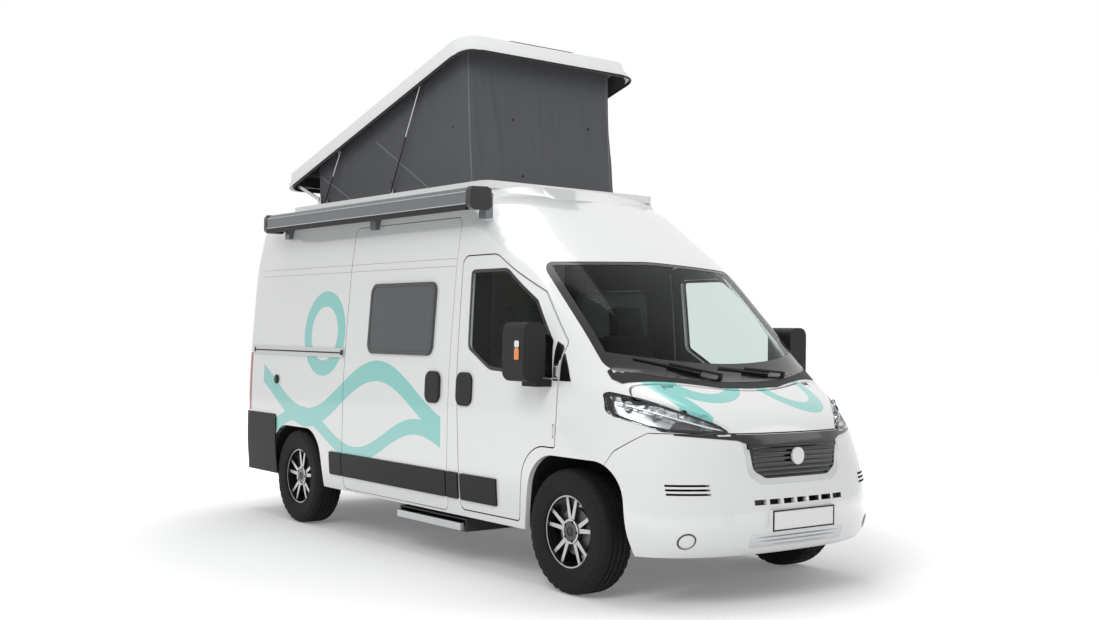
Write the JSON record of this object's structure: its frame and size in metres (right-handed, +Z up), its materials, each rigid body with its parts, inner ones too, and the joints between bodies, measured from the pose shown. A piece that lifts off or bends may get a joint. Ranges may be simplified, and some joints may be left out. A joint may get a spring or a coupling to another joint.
{
  "type": "camper van",
  "caption": "High-roof camper van with a raised wedge-shaped pop-up roof and fabric tent, sliding side door, side awning, hinged rear doors and a slide-out entry step.",
  "frame": {"origin": "centre of the bounding box's bottom face, on the ground", "axes": "-Y is forwards, +X is the vehicle's left side, +Z is up"},
  "size_m": [2.5, 5.4225, 3.6743],
  "materials": {
    "paint": "gloss",
    "dark_plastic": "grained",
    "gloss_black": "gloss",
    "glass": "clear",
    "dark_glass": "tinted",
    "lamp_clear": "clear",
    "lamp_red": "clear",
    "tyre": "matt",
    "rim": "gloss black with bright edges",
    "chassis": "satin",
    "iron": "raw",
    "steel": "satin",
    "awning": "anodised",
    "cloth": "woven",
    "seat": "woven",
    "interior": "grained",
    "wood": "satin",
    "silver": "satin"
  },
  "bodies": {
    "vehicle": {"body_shell": "paint", "front_bumper": "paint", "grille_surround": "silver", "grille": "gloss_black", "lower_grille": "silver", "headlamps": "lamp_clear", "tail_lamps": "lamp_red", "windscreen": "glass", "side_windows": "dark_glass", "floor_pan": "chassis", "arch_liners": "dark_plastic", "front_carrier": "chassis", "rear_axle": "chassis", "front_subframe": "chassis", "roof_frame": "paint", "tent": "cloth", "sliding_door": "paint", "door_rail": "silver", "side_mouldings": "dark_plastic", "awning": "awning", "rear_bumper": "dark_plastic", "cab_seats": "seat", "dashboard": "interior", "living_units": "wood", "engine_block": "iron", "exhaust": "steel", "fuel_tank": "dark_plastic", "step_case": "chassis"},
    "wheel_fl": {"tyre_fl": "tyre", "rim_fl": "rim"},
    "wheel_fr": {"tyre_fr": "tyre", "rim_fr": "rim"},
    "wheel_rl": {"tyre_rl": "tyre", "rim_rl": "rim"},
    "wheel_rr": {"tyre_rr": "tyre", "rim_rr": "rim"},
    "steer_l": {"knuckle_l": "iron"},
    "steer_r": {"knuckle_r": "iron"},
    "door_l": {"cab_door_l": "paint", "cab_glass_l": "glass", "door_trim_l": "dark_plastic"},
    "door_r": {"cab_door_r": "paint", "cab_glass_r": "glass", "door_trim_r": "dark_plastic"},
    "tail_door_l": {"rear_door_l": "paint", "rear_glass_l": "dark_glass"},
    "tail_door_r": {"rear_door_r": "paint", "rear_glass_r": "dark_glass"},
    "bonnet_lid": {"bonnet": "paint"},
    "lift": {"lift_arms": "steel"},
    "pop_roof": {"poproof_lid": "paint", "roof_skylight": "gloss_black"},
    "front_tubes": {"strut_tubes_front": "gloss_black"},
    "front_rods": {"strut_rods_front": "steel"},
    "rear_tubes": {"strut_tubes_rear": "gloss_black"},
    "rear_rods": {"strut_rods_rear": "steel"},
    "hand_wheel": {"steering_wheel": "interior"},
    "step": {"step_tread": "steel"}
  },
  "joints": [
    {"name": "steer_left", "type": "hinge", "parent": "vehicle", "child": "steer_l", "pos_m": [0.865, -1.7585, 0.372], "axis": [0, 0, 1], "range_deg": [-33, 33]},
    {"name": "steer_right", "type": "hinge", "parent": "vehicle", "child": "steer_r", "pos_m": [-0.865, -1.7585, 0.372], "axis": [0, 0, 1], "range_deg": [-33, 33]},
    {"name": "steering_wheel_turn", "type": "hinge", "parent": "vehicle", "child": "hand_wheel", "pos_m": [0.48, -1.47, 1.16], "axis": [0, 0.866, 0.5], "range_deg": [-400, 400]},
    {"name": "wheel_front_left", "type": "hinge", "parent": "steer_l", "child": "wheel_fl", "pos_m": [0.895, -1.7585, 0.372], "axis": [1, 0, 0], "continuous": true},
    {"name": "wheel_front_right", "type": "hinge", "parent": "steer_r", "child": "wheel_fr", "pos_m": [-0.895, -1.7585, 0.372], "axis": [1, 0, 0], "continuous": true},
    {"name": "wheel_rear_left", "type": "hinge", "parent": "vehicle", "child": "wheel_rl", "pos_m": [0.895, 1.6915, 0.372], "axis": [1, 0, 0], "continuous": true},
    {"name": "wheel_rear_right", "type": "hinge", "parent": "vehicle", "child": "wheel_rr", "pos_m": [-0.895, 1.6915, 0.372], "axis": [1, 0, 0], "continuous": true},
    {"name": "cab_door_left", "type": "hinge", "parent": "vehicle", "child": "door_l", "pos_m": [1.01725, -1.65275, 0.96], "axis": [0.0281, 0, -0.9996], "range_deg": [0, 68]},
    {"name": "cab_door_right", "type": "hinge", "parent": "vehicle", "child": "door_r", "pos_m": [-1.01725, -1.65275, 0.96], "axis": [0.0281, 0, 0.9996], "range_deg": [0, 68]},
    {"name": "tail_door_left", "type": "hinge", "parent": "vehicle", "child": "tail_door_l", "pos_m": [0.844, 2.6485, 1.3], "axis": [0, 0, -1], "range_deg": [0, 90]},
    {"name": "tail_door_right", "type": "hinge", "parent": "vehicle", "child": "tail_door_r", "pos_m": [-0.844, 2.6485, 1.3], "axis": [0, 0, 1], "range_deg": [0, 90]},
    {"name": "bonnet_hinge", "type": "hinge", "parent": "vehicle", "child": "bonnet_lid", "pos_m": [0, -2.19321, 1.23193], "axis": [-1, 0, 0], "range_deg": [0, 40]},
    {"name": "roof_lift", "type": "hinge", "parent": "vehicle", "child": "lift", "pos_m": [0, 1.873, 2.63], "axis": [1, 0, 0], "range_deg": [-21.1, 0], "deforming": ["tent"]},
    {"name": "roof_tilt", "type": "hinge", "parent": "lift", "child": "pop_roof", "pos_m": [0, 2.29003, 2.79092], "axis": [1, 0, 0], "range_deg": [0, 37.51]},
    {"name": "front_strut_swing", "type": "hinge", "parent": "vehicle", "child": "front_tubes", "pos_m": [0, 0.77, 2.612], "axis": [1, 0, 0], "range_deg": [0, 58.29]},
    {"name": "front_strut_slide", "type": "slide", "parent": "front_tubes", "child": "front_rods", "axis": [0, -0.4667, 0.8844], "range_m": [-0.40063, 0]},
    {"name": "rear_strut_swing", "type": "hinge", "parent": "vehicle", "child": "rear_tubes", "pos_m": [0, 1.815, 2.612], "axis": [1, 0, 0], "range_deg": [0, 55.65]},
    {"name": "rear_strut_slide", "type": "slide", "parent": "rear_tubes", "child": "rear_rods", "axis": [0, -0.5473, 0.8369], "range_m": [-0.20772, 0]},
    {"name": "step_slide", "type": "slide", "parent": "vehicle", "child": "step", "axis": [-1, 0, 0], "range_m": [0, 0.25]}
  ],
  "couplings": [
    {"joint": "steer_right", "follows": "steer_left", "ratio": 1},
    {"joint": "steering_wheel_turn", "follows": "steer_left", "ratio": 12},
    {"joint": "roof_tilt", "follows": "roof_lift", "ratio": -1.7773},
    {"joint": "front_strut_swing", "follows": "roof_lift", "ratio": -2.7622},
    {"joint": "front_strut_slide", "follows": "roof_lift", "m_per_rad": 1.0873},
    {"joint": "rear_strut_swing", "follows": "roof_lift", "ratio": -2.637},
    {"joint": "rear_strut_slide", "follows": "roof_lift", "m_per_rad": 0.56351}
  ]
}
